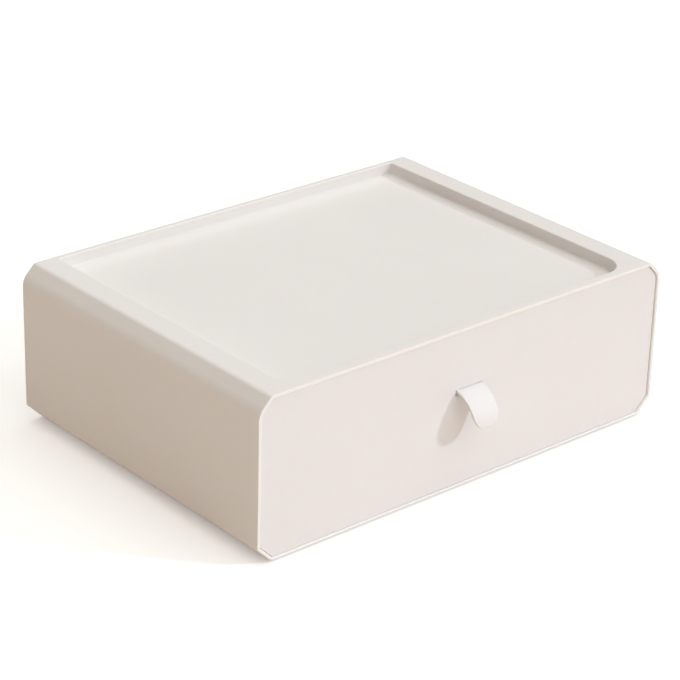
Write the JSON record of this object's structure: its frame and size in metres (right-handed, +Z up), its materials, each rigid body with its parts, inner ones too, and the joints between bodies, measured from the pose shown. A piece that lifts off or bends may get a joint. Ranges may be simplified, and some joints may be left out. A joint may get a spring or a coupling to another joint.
{
  "type": "compartment storage box",
  "caption": "Low desktop storage box: a chamfered casing with a sunk top tray and one full-width drawer, parted into compartments, that slides out by a soft pull tab.",
  "frame": {"origin": "on the surface that the box stands on, under the middle of its whole footprint, pull tab included", "axes": "+X to the right as seen from the front, +Y from the drawer front to the rear, +Z up"},
  "size_m": [0.32, 0.2464, 0.1055],
  "materials": {
    "casing": "satin moulded",
    "drawer_front": "satin moulded",
    "tub": "satin moulded",
    "divider": "satin moulded",
    "tab": "smooth coated",
    "rubber_pad": "matte",
    "screw": "zinc plated"
  },
  "bodies": {
    "casing": {"casing_shell": "casing", "rear_panel": "casing", "rear_panel_screws": "screw", "foot_front_left": "rubber_pad", "foot_front_right": "rubber_pad", "foot_rear_left": "rubber_pad", "foot_rear_right": "rubber_pad", "rear_bumper_left": "rubber_pad", "rear_bumper_right": "rubber_pad"},
    "drawer": {"front_panel": "drawer_front", "drawer_tub": "tub", "front_panel_screws": "screw", "pull_tab": "tab", "tab_clamp": "tub", "tab_clamp_screws": "screw", "long_divider": "divider", "cross_divider_front_left": "divider", "cross_divider_front_right": "divider", "cross_divider_rear_left": "divider", "cross_divider_rear_right": "divider"}
  },
  "joints": [
    {"name": "drawer_slide", "type": "slide", "parent": "casing", "child": "drawer", "axis": [0, -1, 0], "range_m": [0, 0.16]}
  ]
}
